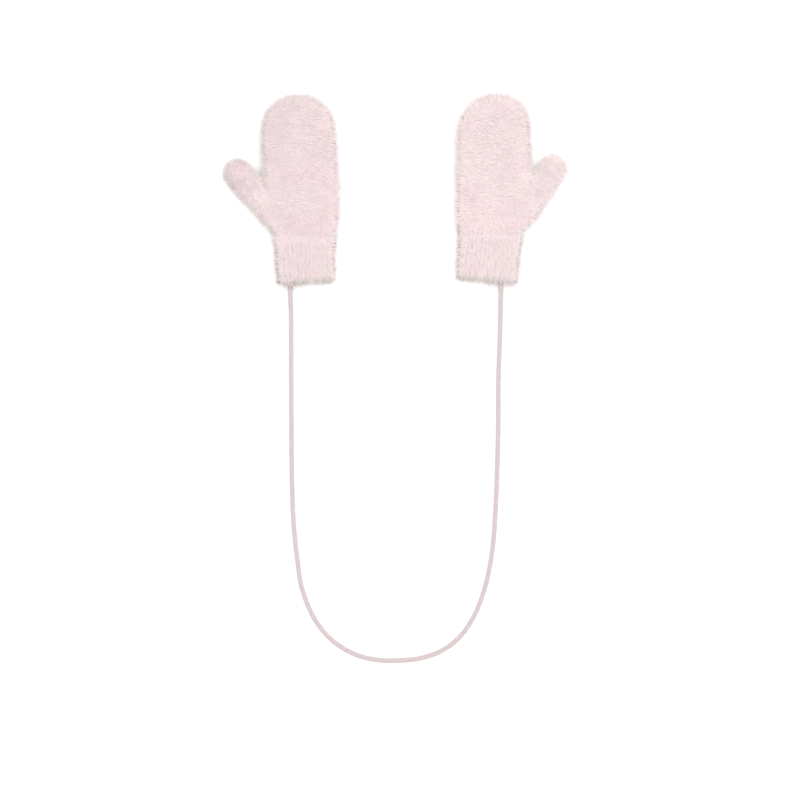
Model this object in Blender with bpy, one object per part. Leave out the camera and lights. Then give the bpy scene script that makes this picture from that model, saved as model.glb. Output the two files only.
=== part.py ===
"""A child's pair of fluffy knitted mittens joined by one cord, laid flat with the fingers up.

Metres, +Z up. The pair rests on Z = 0. +X runs across the pair, from the left mitten to the right
one, and +Y from the cuffs to the fingertips. The origin is on the surface that the pair rests on,
in the middle of the box round both mittens. Lengths in the tables are in millimetres.

Each mitten is three knitted tubes: a hand with a closed round tip, a thumb and a ribbed cuff. Each
tube is a flat hollow whose wall is the knit with its pile. The cord's ends lie inside the cuffs.
"""

from collections import namedtuple
from math import cos, floor, pi, radians, sin

import bmesh
import bpy
from mathutils import Vector

MM = 0.001
SEAM_GAP = 0.3
OVERSHOOT = 3.0

# A wall is about 2 mm of knit with its pile, which the mitten's weight presses flat underneath
Walls = namedtuple("Walls", "side under top")
HAND_WALLS = Walls(4.6, 4.2, 4.6)
THUMB_WALLS = Walls(4.4, 3.6, 3.9)
CUFF_WALLS = Walls(4.0, 3.8, 3.8)
PRESSED = 0.9

# How square a tube's section is: 2 is an ellipse
OUTER_SQUARENESS = 2.9
INNER_SQUARENESS = 2.1

HAND_POINTS = 40
HAND_HOLLOW_POINTS = 26
THUMB_POINTS = 28
THUMB_HOLLOW_POINTS = 18
CUFF_HOLLOW_POINTS = 44
DOME_RINGS = 6
FINGER_ROUNDING = 6.0
THUMB_ROUNDING = 5.5

RIBS = 30
POINTS_PER_RIB = 4
RIB_DEPTH = 0.8
RIB_FREE_HEIGHT = 1.8

# The hem's lip is a quarter of an oval: how far it runs, and how much it takes in by its end
LIP_RINGS = 3
LIP_LENGTH = 5.5
LIP_SIDE = 4.5
LIP_HEIGHT = 2.6
LIP_HOLLOW_SIDE = 2.0

CORD_DIAMETER = 4.0
CORD_STEP = 10.3
# Room in each cuff for the cord's end, which is thicker than the flat hollow
POCKET_DEPTH = 1.15
POCKET_HALF_WIDTH = 5.0
POCKET_LENGTH = 24.0
POCKET_FADE = 7.0

PINK = (0.90, 0.73, 0.745, 1.0)
CORD_PINK = (0.80, 0.64, 0.645, 1.0)

# One section of a tube: the two ends of its width, its underside and its top
Section = namedtuple("Section", "left_x left_y right_x right_y low high")

HANDS = {
    "left": [
        Section(-109.9, -41.9, -53.1, -41.9, 0.0, 11.6),
        Section(-111.6, -25.0, -51.2, -25.0, 0.0, 12.2),
        Section(-113.8, -7.0, -50.5, -7.0, 0.0, 12.6),
        Section(-116.4, 11.1, -51.1, 11.1, 0.0, 12.6),
        Section(-118.9, 29.1, -52.3, 29.1, 0.0, 12.4),
        Section(-120.1, 43.5, -53.1, 43.5, 0.0, 12.2),
        Section(-119.7, 54.3, -54.3, 54.3, 0.0, 12.0),
    ],
    "right": [
        Section(57.2, -40.7, 115.0, -40.7, 0.0, 11.6),
        Section(55.2, -23.2, 117.6, -23.2, 0.0, 12.2),
        Section(55.5, -5.2, 119.7, -5.2, 0.0, 12.6),
        Section(55.5, 12.0, 121.2, 12.0, 0.0, 12.6),
        Section(55.6, 29.1, 121.9, 29.1, 0.0, 12.4),
        Section(55.6, 42.6, 122.0, 42.6, 0.0, 12.2),
        Section(56.7, 54.3, 121.2, 54.3, 0.0, 12.0),
    ],
}
FINGERTIPS = {"left": (-87.0, 85.4), "right": (91.5, 86.2)}

# From the root, which lies inside the hand, to where the round tip starts
THUMBS = {
    "left": [
        Section(-109.1, -40.2, -92.7, -21.4, 0.4, 10.0),
        Section(-120.5, -26.3, -103.3, -9.4, 0.0, 10.2),
        Section(-132.1, -13.8, -114.2, 3.0, 0.0, 11.0),
        Section(-142.4, -2.9, -124.1, 13.5, 0.0, 11.0),
        Section(-150.1, 7.1, -132.4, 22.9, 0.0, 10.8),
    ],
    "right": [
        Section(95.4, -20.5, 113.7, -38.6, 0.4, 10.0),
        Section(105.8, -10.1, 125.4, -25.6, 0.0, 10.2),
        Section(116.3, 4.2, 136.5, -10.8, 0.0, 11.0),
        Section(124.7, 15.9, 144.5, 1.3, 0.0, 11.0),
        Section(132.4, 26.0, 151.4, 11.8, 0.0, 10.8),
    ],
}
THUMB_TIPS = {"left": (-149.5, 24.2), "right": (148.9, 28.7)}

# Where a thumb is joined to its hand, in plan: the ends of the seam, and a point of the open gap
# between the thumb and the hand beyond the crotch
Seam = namedtuple("Seam", "crotch wrist beyond")
THUMB_SEAMS = {
    "left": Seam((-116.9, 10.6), (-120.2, -28.6), (-143.0, 52.8)),
    "right": Seam((121.9, 12.8), (123.8, -26.3), (142.6, 58.3)),
}

# From the wrist to where the hem's lip starts
CUFFS = {
    "left": [
        Section(-109.9, -42.2, -53.1, -42.2, 0.0, 11.4),
        Section(-108.1, -50.2, -54.4, -50.2, 0.0, 11.2),
        Section(-107.1, -61.0, -54.9, -61.0, 0.0, 11.0),
        Section(-106.5, -71.8, -54.3, -71.8, 0.0, 11.0),
        Section(-105.1, -80.8, -54.7, -77.7, 0.0, 10.8),
    ],
    "right": [
        Section(57.2, -41.0, 115.0, -41.0, 0.0, 11.4),
        Section(57.2, -50.2, 113.4, -50.2, 0.0, 11.2),
        Section(56.6, -61.0, 111.5, -61.0, 0.0, 11.0),
        Section(55.9, -70.0, 110.7, -70.0, 0.0, 11.0),
        Section(56.3, -75.8, 109.8, -79.8, 0.0, 10.8),
    ],
}

# The cord's middle line, from inside the left cuff to inside the right one
CordPoint = namedtuple("CordPoint", "x y z")
CORD_ROUTE = [
    CordPoint(-93.8, -70.0, 5.5),
    CordPoint(-94.1, -78.0, 5.5),
    CordPoint(-94.2, -86.5, 5.4),
    CordPoint(-94.2, -94.0, 3.9),
    CordPoint(-94.0, -102.0, 2.4),
    CordPoint(-93.7, -111.0, 2.05),
    CordPoint(-93.6, -130.0, 2.05),
    CordPoint(-93.6, -160.0, 2.05),
    CordPoint(-93.4, -200.0, 2.05),
    CordPoint(-93.1, -240.0, 2.05),
    CordPoint(-92.6, -272.0, 2.05),
    CordPoint(-91.3, -300.0, 2.05),
    CordPoint(-88.4, -329.0, 2.05),
    CordPoint(-83.9, -358.0, 2.05),
    CordPoint(-73.2, -384.6, 2.05),
    CordPoint(-58.2, -403.8, 2.05),
    CordPoint(-38.0, -417.0, 2.05),
    CordPoint(-17.5, -422.6, 2.05),
    CordPoint(2.0, -423.4, 2.05),
    CordPoint(22.0, -421.4, 2.05),
    CordPoint(41.5, -414.8, 2.05),
    CordPoint(59.0, -401.5, 2.05),
    CordPoint(72.6, -380.5, 2.05),
    CordPoint(82.4, -352.5, 2.05),
    CordPoint(88.2, -320.0, 2.05),
    CordPoint(90.6, -288.0, 2.05),
    CordPoint(92.2, -250.0, 2.05),
    CordPoint(93.1, -210.0, 2.05),
    CordPoint(93.3, -170.0, 2.05),
    CordPoint(94.4, -138.0, 2.05),
    CordPoint(95.1, -111.0, 2.05),
    CordPoint(95.3, -102.0, 2.4),
    CordPoint(95.4, -94.0, 3.9),
    CordPoint(95.4, -86.5, 5.4),
    CordPoint(95.3, -78.0, 5.5),
    CordPoint(95.0, -70.0, 5.5),
]


def clear_scene():
    for thing in list(bpy.data.objects):
        bpy.data.objects.remove(thing)


def material(name, colour, roughness):
    made = bpy.data.materials.new(name)
    made.use_nodes = True
    surface = made.node_tree.nodes["Principled BSDF"]
    surface.inputs["Base Color"].default_value = colour
    surface.inputs["Roughness"].default_value = roughness
    surface.inputs["Metallic"].default_value = 0.0
    return made


def between(before, start, end, after, share):
    """A point on the smooth curve through four values, share of the way from start to end."""
    return 0.5 * (
        2 * start
        + (end - before) * share
        + (2 * before - 5 * start + 4 * end - after) * share**2
        + (3 * start - before - 3 * end + after) * share**3
    )


def smooth_rows(rows, steps):
    """The table's rows with more rows worked out between them on a smooth curve."""
    made = []
    for at in range(len(rows) - 1):
        four = [rows[max(at - 1, 0)], rows[at], rows[at + 1], rows[min(at + 2, len(rows) - 1)]]
        for step in range(steps):
            values = [between(*column, step / steps) for column in zip(*four)]
            made.append(type(rows[0])(*values))
    made.append(rows[-1])
    return made


def dome_rows(base, tip, rounding, count):
    """The sections of a round tip, from a tube's last section to just short of its furthest point."""
    centre = Vector((base.left_x + base.right_x, base.left_y + base.right_y)) / 2
    half = Vector((base.right_x - base.left_x, base.right_y - base.left_y)) / 2
    reach = Vector(tip) - centre
    middle = (base.low + base.high) / 2
    made = []
    for step in range(1, count + 1):
        angle = radians(90) * step / (count + 0.6)
        at, side = centre + reach * sin(angle), half * cos(angle)
        nearness = max(0.0, 1 - reach.length * (1 - sin(angle)) / rounding)
        fullness = (1 - nearness**2) ** 0.5
        low = middle - (middle - base.low) * fullness
        high = middle + (base.high - middle) * fullness
        made.append(Section(at.x - side.x, at.y - side.y, at.x + side.x, at.y + side.y, low, high))
    return made


def inset(section, walls):
    """A section taken in by a wall's thickness at its sides, underside and top."""
    left = Vector((section.left_x, section.left_y))
    right = Vector((section.right_x, section.right_y))
    across = (right - left).normalized() * walls.side
    left, right = left + across, right - across
    return Section(*left, *right, section.low + walls.under, section.high - walls.top)


def moved(section, distance):
    """A section moved along Y."""
    return section._replace(
        left_y=section.left_y + distance, right_y=section.right_y + distance
    )


def lip_rows(base, side, height):
    """The sections of a hem's rounded lip, taken in at the sides and in height by its end."""
    made = []
    for step in range(1, LIP_RINGS + 1):
        angle = radians(90) * step / LIP_RINGS
        taken = 1 - cos(angle)
        walls = Walls(side * taken, height * taken, height * taken)
        made.append(moved(inset(base, walls), -LIP_LENGTH * sin(angle)))
    return made


def ring(section, points, squareness, pressed):
    """Points spaced evenly round a section, from its right end over its top. Its underside is flat."""
    left = Vector((section.left_x, section.left_y, 0))
    right = Vector((section.right_x, section.right_y, 0))
    centre, half = (left + right) / 2, (right - left) / 2
    middle = (section.low + section.high) / 2
    rise, drop = section.high - middle, middle - section.low + pressed
    dense = []
    fine = points * 12
    for step in range(fine + 1):
        angle = 2 * pi * step / fine
        across = abs(cos(angle)) ** (2 / squareness) * (1 if cos(angle) > 0 else -1)
        up = abs(sin(angle)) ** (2 / squareness) * (rise if sin(angle) > 0 else -drop)
        height = max(middle + up, 0.0) if pressed else middle + up
        dense.append(centre + half * across + Vector((0, 0, height)))
    lengths = [0.0]
    for start, end in zip(dense, dense[1:]):
        lengths.append(lengths[-1] + (end - start).length)
    made, at = [], 0
    for step in range(points):
        target = lengths[-1] * step / points
        while lengths[at + 1] < target:
            at += 1
        share = (target - lengths[at]) / (lengths[at + 1] - lengths[at])
        made.append(dense[at].lerp(dense[at + 1], share))
    return made


def lofted(name, rings, pole=None):
    """A closed solid through the rings, with its first end flat, and its last at a pole or flat."""
    shape = bmesh.new()
    rows = [[shape.verts.new(point * MM) for point in points] for points in rings]
    around = len(rows[0])
    for lower, upper in zip(rows, rows[1:]):
        for at in range(around):
            after = (at + 1) % around
            shape.faces.new((lower[at], lower[after], upper[after], upper[at]))
    shape.faces.new(rows[0][::-1])
    if pole is None:
        shape.faces.new(rows[-1])
    else:
        point = shape.verts.new(pole * MM)
        for at in range(around):
            shape.faces.new((rows[-1][at], rows[-1][(at + 1) % around], point))
    bmesh.ops.recalc_face_normals(shape, faces=shape.faces)
    mesh = bpy.data.meshes.new(name)
    shape.to_mesh(mesh)
    shape.free()
    mesh.shade_smooth()
    mesh.set_sharp_from_angle(angle=radians(50))
    made = bpy.data.objects.new(name, mesh)
    bpy.context.collection.objects.link(made)
    return made


def as_cutter(thing):
    thing.hide_render = True
    thing.display_type = "WIRE"
    return thing


def combine(thing, operation, other):
    step = thing.modifiers.new(f"{operation.lower()} {other.name}", "BOOLEAN")
    step.operation = operation
    step.object = other
    step.solver = "EXACT"


def tip_of(sections, tip):
    return Vector((*tip, (sections[-1].low + sections[-1].high) / 2))


def rounded_tube(name, rows, tip, rounding, points):
    """The outside of a hand or thumb: a flat tube with a closed round tip."""
    sections = smooth_rows(rows, 2) + dome_rows(rows[-1], tip, rounding, DOME_RINGS)
    rings = [ring(section, points, OUTER_SQUARENESS, PRESSED) for section in sections]
    return lofted(name, rings, tip_of(rows, tip))


def hollow_of(name, rows, tip, rounding, points, walls):
    """The space inside a hand or thumb, as a cutter."""
    rows = [inset(row, walls) for row in rows]
    base = Vector((rows[-1].left_x + rows[-1].right_x, rows[-1].left_y + rows[-1].right_y)) / 2
    inner_tip = Vector(tip) - (Vector(tip) - base).normalized() * walls.side
    sections = smooth_rows(rows, 1) + dome_rows(rows[-1], inner_tip, rounding / 2, DOME_RINGS - 2)
    rings = [ring(section, points, INNER_SQUARENESS, 0) for section in sections]
    return as_cutter(lofted(name, rings, tip_of(rows, inner_tip)))


def block(name, corners, height=40):
    """An upright block on the corners, which are given in plan."""
    outline = [Vector((*corner, 0)) for corner in corners]
    rise = Vector((0, 0, height))
    return as_cutter(lofted(name, [[at - rise for at in outline], [at + rise for at in outline]]))


def seam_blocks(side, reach=60):
    """The thumb's side of its seam and the hand's side, which overlap by the seam's gap."""
    seam = THUMB_SEAMS[side]
    crotch, wrist, beyond = Vector(seam.crotch), Vector(seam.wrist), Vector(seam.beyond)
    along = (wrist - crotch).normalized()
    inward = Vector((-along.y, along.x)) * (1 if side == "left" else -1)
    nudge = inward * SEAM_GAP / 2
    low_end = wrist + along * reach
    outside = [crotch + nudge, low_end + nudge, low_end - inward * reach, beyond - inward * reach]
    thumb_side = block(f"{side} thumb side", [*outside, beyond])
    start = crotch - along * reach
    inside = [start - nudge, low_end - nudge, low_end + inward * reach, start + inward * reach]
    return thumb_side, block(f"{side} hand side", inside)


def make_hand_and_thumb(side, fabric):
    hand_rows, thumb_rows = HANDS[side], THUMBS[side]
    hand = rounded_tube(
        f"{side}_hand", hand_rows, FINGERTIPS[side], FINGER_ROUNDING, HAND_POINTS
    )
    thumb = rounded_tube(
        f"{side}_thumb", thumb_rows, THUMB_TIPS[side], THUMB_ROUNDING, THUMB_POINTS
    )
    root = as_cutter(thumb.copy())
    root.name = f"{side} thumb root"
    bpy.context.collection.objects.link(root)
    hand_hollow = hollow_of(
        f"{side} hand hollow", [moved(hand_rows[0], -OVERSHOOT), *hand_rows],
        FINGERTIPS[side], FINGER_ROUNDING, HAND_HOLLOW_POINTS, HAND_WALLS,
    )
    thumb_hollow = hollow_of(
        f"{side} thumb hollow", thumb_rows,
        THUMB_TIPS[side], THUMB_ROUNDING, THUMB_HOLLOW_POINTS, THUMB_WALLS,
    )
    thumb_side, hand_side = seam_blocks(side)
    combine(hand, "UNION", root)
    combine(hand, "DIFFERENCE", hand_hollow)
    combine(hand, "DIFFERENCE", thumb_hollow)
    combine(hand, "DIFFERENCE", thumb_side)
    combine(thumb, "DIFFERENCE", thumb_hollow)
    combine(thumb, "DIFFERENCE", hand_side)
    for piece in (hand, thumb):
        piece.data.materials.append(fabric)


def with_ribs(points, section):
    """A cuff's ring with its ribs raised, but for the part that lies on the surface below."""
    across = Vector((section.right_x - section.left_x, section.right_y - section.left_y, 0))
    along = across.cross(Vector((0, 0, 1))).normalized()
    made = []
    for at, point in enumerate(points):
        step = points[(at + 1) % len(points)] - points[at - 1]
        out = along.cross(step).normalized()
        wave = cos(2 * pi * (at + 0.5) / POINTS_PER_RIB)
        free = min(1.0, max(0.0, point.z / RIB_FREE_HEIGHT))
        made.append(point + out * (wave * free * RIB_DEPTH / 2))
    return made


def with_pocket(points, cord_x, from_hem):
    """A hollow's ring opened out round the cord's end."""
    middle = sum(point.z for point in points) / len(points)
    fade = min(1.0, max(0.0, (POCKET_LENGTH - from_hem) / POCKET_FADE))
    made = []
    for point in points:
        sideways = (point.x - cord_x) / POCKET_HALF_WIDTH
        depth = POCKET_DEPTH * fade * 2 ** (-sideways * sideways)
        made.append(point + Vector((0, 0, depth if point.z > middle else -depth)))
    return made


def make_cuff(side, fabric):
    rows = CUFFS[side]
    outer = smooth_rows(rows, 1) + lip_rows(rows[-1], LIP_SIDE, LIP_HEIGHT)
    rings = [ring(row, RIBS * POINTS_PER_RIB, OUTER_SQUARENESS, PRESSED) for row in outer]
    cuff = lofted(f"{side}_cuff", [with_ribs(*pair) for pair in zip(rings, outer)])

    lip = lip_rows(rows[-1], LIP_HOLLOW_SIDE, 0)
    inner = [moved(rows[0], OVERSHOOT), *rows, *lip, moved(lip[-1], -OVERSHOOT)]
    cord_x = CORD_ROUTE[1].x if side == "left" else CORD_ROUTE[-2].x
    hollow = []
    for row in inner:
        points = ring(inset(row, CUFF_WALLS), CUFF_HOLLOW_POINTS, INNER_SQUARENESS, 0)
        from_hem = (row.left_y + row.right_y - outer[-1].left_y - outer[-1].right_y) / 2
        hollow.append(with_pocket(points, cord_x, from_hem))
    combine(cuff, "DIFFERENCE", as_cutter(lofted(f"{side} cuff hollow", hollow)))
    cuff.data.materials.append(fabric)


def make_cord(fabric):
    """The cord as a round tube whose points are spaced evenly along its smooth middle line."""
    dense = [Vector(point) for point in smooth_rows(CORD_ROUTE, 24)]
    lengths = [0.0]
    for start, end in zip(dense, dense[1:]):
        lengths.append(lengths[-1] + (end - start).length)
    count = floor(lengths[-1] / CORD_STEP)
    line = bpy.data.curves.new("cord", "CURVE")
    line.dimensions = "3D"
    path = line.splines.new("POLY")
    path.points.add(count)
    at = 0
    for step in range(count + 1):
        target = lengths[-1] * step / count
        while at < len(dense) - 2 and lengths[at + 1] < target:
            at += 1
        share = (target - lengths[at]) / (lengths[at + 1] - lengths[at])
        path.points[step].co = (*(dense[at].lerp(dense[at + 1], share) * MM), 1)
    line.bevel_depth = CORD_DIAMETER / 2 * MM
    line.bevel_resolution = 2
    line.use_fill_caps = True
    line.materials.append(fabric)
    bpy.context.collection.objects.link(bpy.data.objects.new("cord", line))


def main():
    clear_scene()
    fluffy = material("fluffy_knit", PINK, 0.95)
    plain = material("knitted_cord", CORD_PINK, 0.9)
    for side in ("left", "right"):
        make_hand_and_thumb(side, fluffy)
        make_cuff(side, fluffy)
    make_cord(plain)


main()
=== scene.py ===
"""The looks of a child's fluffy knitted mittens on a cord, laid flat and seen from straight above.

Each mitten is a thin knitted shell on its solid's form, taken in by the depth of the pile, with the
pile on it as real locks of hair. The knit and the pile each have their own pieces for the hand,
thumb and cuff. The cord is a knitted tube with a fine fuzz. Metres, +Z up, lengths in the tables in
millimetres.
"""

from collections import namedtuple
from math import cos, pi, sin

import bmesh
import bpy
import numpy as np
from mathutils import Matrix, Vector, noise
from mathutils.bvhtree import BVHTree
from mathutils.kdtree import KDTree


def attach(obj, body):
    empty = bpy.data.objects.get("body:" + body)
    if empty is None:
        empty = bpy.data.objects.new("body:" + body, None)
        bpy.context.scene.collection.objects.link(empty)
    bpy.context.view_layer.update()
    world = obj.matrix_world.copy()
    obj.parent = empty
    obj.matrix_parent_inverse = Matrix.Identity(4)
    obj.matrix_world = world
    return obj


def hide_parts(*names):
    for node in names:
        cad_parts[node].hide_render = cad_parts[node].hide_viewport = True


MM = 0.001
SIDES = ("left", "right")

# The photograph's frame: how wide it is in the mittens' own size, and the point at its middle
PHOTO_WIDTH = 720.0
PHOTO_MIDDLE = (4.5, -188.55)
LENS = 120.0
SENSOR = 36.0
OUTLINE_HEIGHT = 5.5

# The studio, in metres
Lamp = namedtuple("Lamp", "name place aim size watts colour")
LAMPS = (
    Lamp("soft key", (0.8, 0.7, 1.6), (0, -0.1, 0), 1.4, 4.0, (1.0, 0.995, 0.985)),
    Lamp("top light", (0, -0.19, 3.2), (0, -0.19, 0), 1.6, 30.0, (1.0, 1.0, 1.0)),
)
FLOOR_HALF = 4.0
PAPER_COLOUR = (0.97, 0.97, 0.968, 1)
WHITE = (1.0, 1.0, 1.0, 1)

# The cord's middle line, from inside the left cuff to inside the right one, as its solid has it
CORD_ROUTE = [
    (-93.8, -70.0, 5.5), (-94.1, -78.0, 5.5), (-94.2, -86.5, 5.4), (-94.2, -94.0, 3.9),
    (-94.0, -102.0, 2.4), (-93.7, -111.0, 2.05), (-93.6, -130.0, 2.05), (-93.6, -160.0, 2.05),
    (-93.4, -200.0, 2.05), (-93.1, -240.0, 2.05), (-92.6, -272.0, 2.05), (-91.3, -300.0, 2.05),
    (-88.4, -329.0, 2.05), (-83.9, -358.0, 2.05), (-73.2, -384.6, 2.05), (-58.2, -403.8, 2.05),
    (-38.0, -417.0, 2.05), (-17.5, -422.6, 2.05), (2.0, -423.4, 2.05), (22.0, -421.4, 2.05),
    (41.5, -414.8, 2.05), (59.0, -401.5, 2.05), (72.6, -380.5, 2.05), (82.4, -352.5, 2.05),
    (88.2, -320.0, 2.05), (90.6, -288.0, 2.05), (92.2, -250.0, 2.05), (93.1, -210.0, 2.05),
    (93.3, -170.0, 2.05), (94.4, -138.0, 2.05), (95.1, -111.0, 2.05), (95.3, -102.0, 2.4),
    (95.4, -94.0, 3.9), (95.4, -86.5, 5.4), (95.3, -78.0, 5.5), (95.0, -70.0, 5.5),
]
CORD_DIAMETER = 4.0
# The cord's knit: the step along it, its columns of stitches, their length and their relief
CORD_STEP = 0.55
CORD_COLUMNS = 4
CORD_STITCH = 3.3
CORD_RELIEF = 0.28
CORD_SMOOTH = 24
CORD_BEVEL = 6
# The cord's fuzz starts clear of the cuffs and of the floor
FUZZ_HAIRS = 12000
FUZZ_TOP_Y = -84.0
FUZZ_LOW = 0.5
FUZZ_LENGTH = (0.5, 1.5)
FUZZ_WIDTH = (0.10, 0.22)
THREAD_STEP = 0.25
THREAD_BEVEL = 2

# One section of a cuff, as its solid has it: the two ends of its width, its underside and its top
Section = namedtuple("Section", "left_x left_y right_x right_y low high")
CUFFS = {
    "left": [
        Section(-109.9, -42.2, -53.1, -42.2, 0.0, 11.4),
        Section(-108.1, -50.2, -54.4, -50.2, 0.0, 11.2),
        Section(-107.1, -61.0, -54.9, -61.0, 0.0, 11.0),
        Section(-106.5, -71.8, -54.3, -71.8, 0.0, 11.0),
        Section(-105.1, -80.8, -54.7, -77.7, 0.0, 10.8),
    ],
    "right": [
        Section(57.2, -41.0, 115.0, -41.0, 0.0, 11.4),
        Section(57.2, -50.2, 113.4, -50.2, 0.0, 11.2),
        Section(56.6, -61.0, 111.5, -61.0, 0.0, 11.0),
        Section(55.9, -70.0, 110.7, -70.0, 0.0, 11.0),
        Section(56.3, -75.8, 109.8, -79.8, 0.0, 10.8),
    ],
}
ROWS_PER_SECTION = 5
# How square a section is at its sides, and how far the floor presses its underside up
SQUARENESS = 2.9
PRESSED = 0.9
# A cuff's ribs: their relief in the knit and in the pile, where a crest is in the width of a rib, how much
# lighter it is, as painted light on the crests with painted shade in the grooves, the share of the cuff over
# which the ribs rise, and the height that flattens them
RIBS = 30
POINTS_PER_RIB = 8
RIB_DEPTH = 0.7
PILE_RIB = 0.25
RIB_PHASE = 0.125
RIB_PAINTED_LIGHT = 0.02
RIB_START = 0.35
RIB_FREE_HEIGHT = 1.8
# How far a cuff's knit goes up under the hand's edge, and the size of the hem's rounded lip
TUCK = 3.0
LIP_RINGS = 6
LIP_LENGTH = 3.4
LIP_SIDE = 4.5
LIP_HEIGHT = 2.6

# A value on top of a mitten, at its sides and underneath
ByFace = namedtuple("ByFace", "top side under")
# How far the knit lies inside the pile's outer face. Under the mitten the pile is pressed thin.
PILE_DEPTH = {"hand": ByFace(1.6, 1.9, 0.8), "thumb": ByFace(1.5, 1.8, 0.8), "cuff": ByFace(1.3, 2.1, 0.8)}
KNIT_THICKNESS = 1.8
# The size of a skin's faces
SKIN_CELL = 1.7
# An even face lies up to this far inside the solid's own surface
SKIN_CLEAR = 1.2
# How far a ray looks for a wall, and the slopes of the rays, all but straight down and up
WALL_REACH = 30.0
RAY_SLOPES = (-4.0, -1.5, 1.5, 4.0)
# A ray down from this height, as long as that, meets what is seen from above
ABOVE = 50.0
DOWN = 60.0
# How far a skin goes on past its edge, how wide the thumb's seam is, and how far up the wrist's edge is
SEAM_REACH = 1.0
SEAM_WIDTH = 4.5
WRIST_Y = -34.0
# A normal whose z is under this is upright
UPRIGHT = 0.4

# Where each tube's middle line runs in plan, from its open end to its tip
Axis = namedtuple("Axis", "start end half_width")
AXES = {
    "left_hand": Axis((-81.5, -41.9), (-86.5, 85.0), 33.0),
    "right_hand": Axis((86.1, -40.7), (90.0, 86.0), 33.0),
    "left_thumb": Axis((-112.0, -18.0), (-148.5, 24.0), 12.0),
    "right_thumb": Axis((115.0, -18.0), (148.0, 28.5), 12.0),
    "left_cuff": Axis((-81.5, -42.2), (-79.9, -83.5), 27.0),
    "right_cuff": Axis((86.1, -41.0), (83.0, -82.5), 27.0),
}

# Hair has one UV map, with a column for each lightness and a row for each hue
HAIR_MAP = "OFBake"
LIGHT_COLUMNS = 32
DARKEST = 0.75
# The hues of hair, from the grey-brown of shaded tips to the deepest pink
HUES = (
    (0.94, 0.965, 0.93, 1), (0.975, 0.972, 0.96, 1), (0.995, 0.96, 0.962, 1), (1.0, 0.935, 0.948, 1),
)
# The way from the light, in plan
SHADED_WAY = np.array([-0.6, -0.8])
# How far in from the outline hair turns to it, and how far in its tips are shaded
EDGE_TURN = 13.0
EDGE_SHADE = 8.5
HEM_SHADE = 9.0
EDGE_STRIPES = 9.0
# Tufts at the outline: how fine they are, and how much they turn aside
TUFT_SCALE, HEM_TUFT_SCALE = 330.0, 560.0
TUFT_TURN, HEM_TUFT_TURN = 0.15, 1.1
COMB_NOISE = 0.12
# Beyond a lock's shortest reach at the outline its hairs go on this far: the mean of a lock and of a hair
LOCK_FRINGE = 0.55
HAIR_FRINGE = 1.0
HEM_FRINGE = 1.2
# How far from a skin's edge a place on the outline has nothing of the mitten over or under it
CLEAR = 3.3
# How far apart two sides may be for the hair of both to fill the notch between them
NOTCH = 4.5
# The share of hairs that stray out of their lock, and how much longer they are
STRAY = 0.05
STRAY_LONGER = 0.35
# How steeply the lower and the upper half of a hair rise, as sines
ROOT_RISE = ByFace(0.50, 0.80, 0.20)
TIP_RISE = ByFace(0.10, 0.62, 0.02)
# How deep a root is in the knit, the shortest hair, and how far hair stays off the floor
ROOT_DEPTH = 0.2
SHORTEST = 1.7
FLOOR_GAP = 0.2
# The shares by which hair is longer where a thumb leaves its hand and along its seam
CROTCH_LONGER = 0.5
SEAM_LONGER = 0.35
# The share of a thumb's length over which its hair goes from the hand's look to its own
THUMB_BLEND = 0.45
# What is added to a lock's lightness: patches, chance, painted light on the sides and in a notch, where shade
# falls, and stripes at the outline
PATCH_LIGHT = 0.08
LOCK_LIGHT = 0.05
EDGE_LIGHT = 0.06
SIDE_PAINTED_LIGHT = 0.14
NOTCH_PAINTED_LIGHT = 0.3
STRIPE_LIGHT, HEM_STRIPE_LIGHT = 0.22, 0.9
STRIPE_SCALE, HEM_STRIPE_SCALE = 360.0, 200.0
# What is taken from it as painted shade at the hem, underneath and on hairs that reach far out, and on a
# blush of deeper pink, then how far the hue turns on a blush and, as painted shade, on those far hairs
HEM_PAINTED_SHADE = 0.50
UNDER_PAINTED_SHADE = 0.1
BLUSH_DARK = 0.10
FAR_PAINTED_SHADE = 0.12
BLUSH_HUE = 0.35
FAR_SHADE_HUE = 0.4

# Everything drawn at random comes from here, in one order
rng = np.random.default_rng(41)


def vectors(mesh, what="co"):
    """Each vertex's place, or its normal."""
    found = np.empty(len(mesh.vertices) * 3, np.float32)
    if what == "co":
        mesh.vertices.foreach_get("co", found)
    else:
        mesh.vertex_normals.foreach_get("vector", found)
    return found.reshape(-1, 3).astype(float)


def unit(rows):
    return rows / np.maximum(np.linalg.norm(rows, axis=-1, keepdims=True), 1e-12)


def linked(name, mesh):
    """An object for a mesh or other data, in the scene."""
    made = bpy.data.objects.new(name, mesh)
    bpy.context.collection.objects.link(made)
    return made


def dressed(name, mesh, material):
    """The mesh as a smooth object with one material."""
    mesh.shade_smooth()
    mesh.materials.clear()
    mesh.materials.append(material)
    return linked(name, mesh)


def evaluated_mesh(thing, name):
    """The object's mesh with its modifiers applied, in place of the object."""
    deps = bpy.context.evaluated_depsgraph_get()
    mesh = bpy.data.meshes.new_from_object(thing.evaluated_get(deps), depsgraph=deps)
    mesh.name = name
    bpy.data.objects.remove(thing)
    return mesh


def between(before, start, end, after, share):
    """A point on the smooth curve through four values, share of the way from start to end."""
    return 0.5 * (
        2 * start
        + (end - before) * share
        + (2 * before - 5 * start + 4 * end - after) * share**2
        + (3 * start - before - 3 * end + after) * share**3
    )


def smooth_rows(rows, steps):
    """The rows with more rows worked out between them on a smooth curve."""
    made = []
    for at in range(len(rows) - 1):
        four = [rows[max(at - 1, 0)], rows[at], rows[at + 1], rows[min(at + 2, len(rows) - 1)]]
        for step in range(steps):
            made.append([between(*column, step / steps) for column in zip(*four)])
    made.append(list(rows[-1]))
    return np.array(made, float)


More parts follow.
